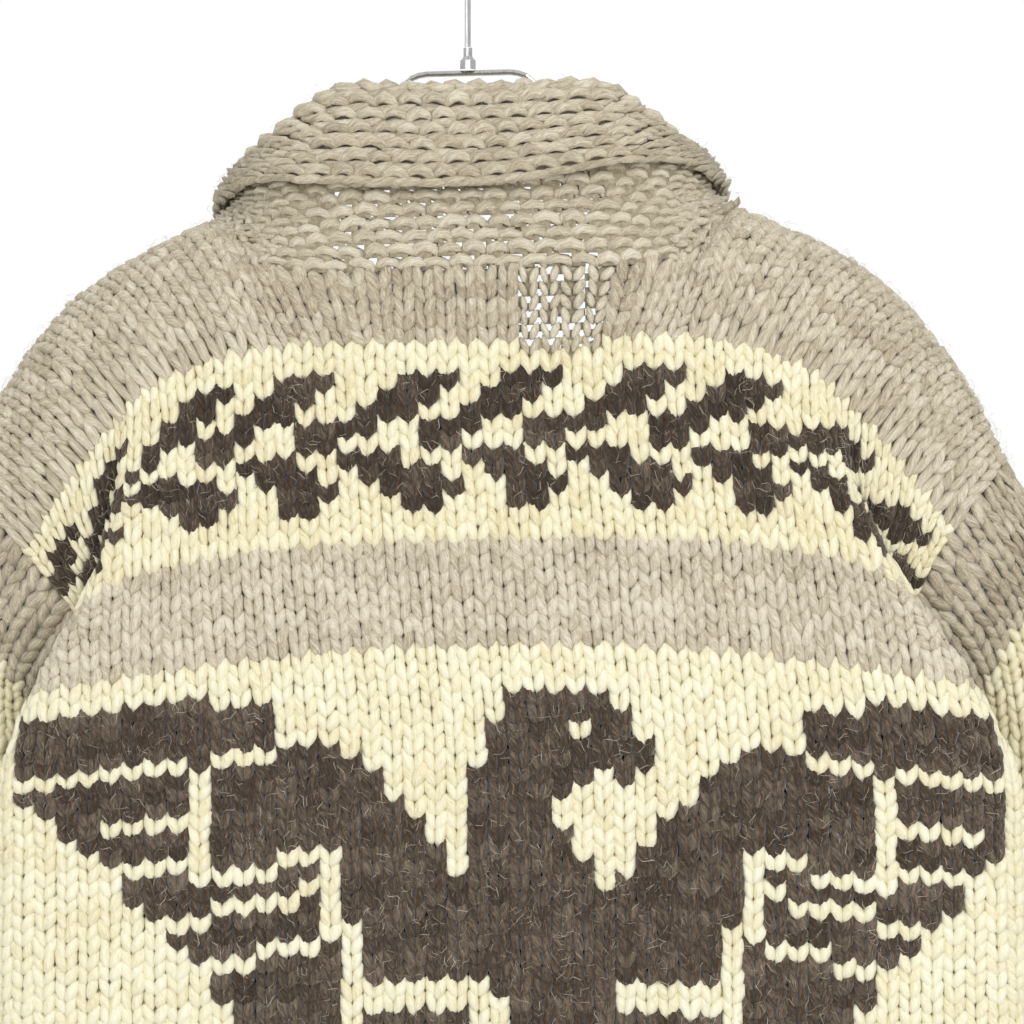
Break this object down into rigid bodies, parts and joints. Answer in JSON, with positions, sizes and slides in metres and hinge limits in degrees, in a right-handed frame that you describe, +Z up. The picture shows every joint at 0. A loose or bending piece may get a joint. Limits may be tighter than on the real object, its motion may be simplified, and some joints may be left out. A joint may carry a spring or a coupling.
{
  "type": "cowichan cardigan on a hanger",
  "caption": "A hand-knitted cowichan cardigan in grey, cream and dark brown wool, with a shawl collar and a spread-winged bird on its back, on a chrome wire hanger.",
  "frame": {"origin": "the inside top of the hanger's hook, where it hangs on a rail", "axes": "+Z up along the hanger's rod, +Y out of the garment's back, +X towards the sleeve on the left of a viewer who faces the back"},
  "size_m": [0.6322, 0.1361, 0.8423],
  "materials": {
    "wool_grey": "thick handspun wool in a heathered warm grey, knitted",
    "wool_cream": "thick handspun cream wool, knitted",
    "wool_rib": "the same warm grey wool in garter ridges and ribs",
    "button_wood": "smooth dark wood",
    "hanger_chrome": "polished chrome wire"
  },
  "bodies": {
    "root": {"back": "wool_grey", "front_left": "wool_grey", "front_right": "wool_grey", "sleeve_left": "wool_cream", "sleeve_right": "wool_cream", "cuff_left": "wool_rib", "cuff_right": "wool_rib", "hem_back": "wool_rib", "hem_left": "wool_rib", "hem_right": "wool_rib", "collar": "wool_rib", "band_left": "wool_rib", "band_right": "wool_rib", "button_1": "button_wood", "button_2": "button_wood", "button_3": "button_wood", "button_4": "button_wood", "button_5": "button_wood", "button_6": "button_wood", "hanger_hook": "hanger_chrome", "hanger_ferrule": "hanger_chrome", "hanger_arms": "hanger_chrome"}
  },
  "joints": []
}
